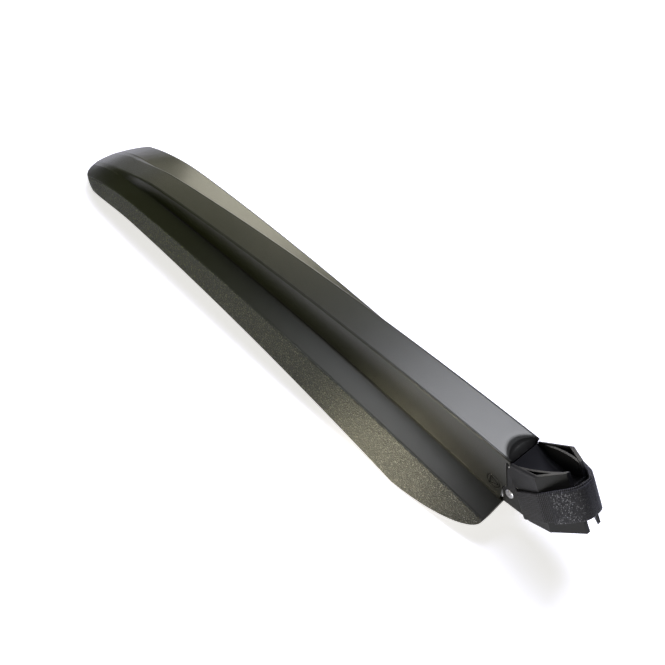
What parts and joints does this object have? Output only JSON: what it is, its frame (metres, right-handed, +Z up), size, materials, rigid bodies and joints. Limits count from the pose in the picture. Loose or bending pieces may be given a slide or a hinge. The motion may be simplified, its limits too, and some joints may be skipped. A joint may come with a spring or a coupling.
{
  "type": "bicycle mudguard",
  "caption": "Moulded plastic rear mudguard for a bicycle: a ridged blade with winged skirts, hinged to a bracket that a webbing strap holds to the seat post.",
  "frame": {"origin": "on the floor, under the middle of the outline's length and width; the guard stands on its two front lobes and the tip of its tail", "axes": "+X forward to the seat post, +Y to the bicycle's left, +Z up"},
  "size_m": [0.4946, 0.08, 0.0789],
  "materials": {
    "blade": "black moulded plastic, smooth on the wings and finely grained on the skirts",
    "bracket": "black moulded plastic, satin",
    "hinge_pin": "dull steel",
    "strap": "woven black webbing with a hook and loop end"
  },
  "bodies": {
    "blade": {"blade": "blade"},
    "bracket": {"bracket": "bracket", "hinge_pin": "hinge_pin", "strap": "strap"}
  },
  "joints": [
    {"name": "bracket_hinge", "type": "hinge", "parent": "blade", "child": "bracket", "pos_m": [0.20066, 0, 0.03134], "axis": [0, 1, 0], "range_deg": [0, 12]}
  ]
}
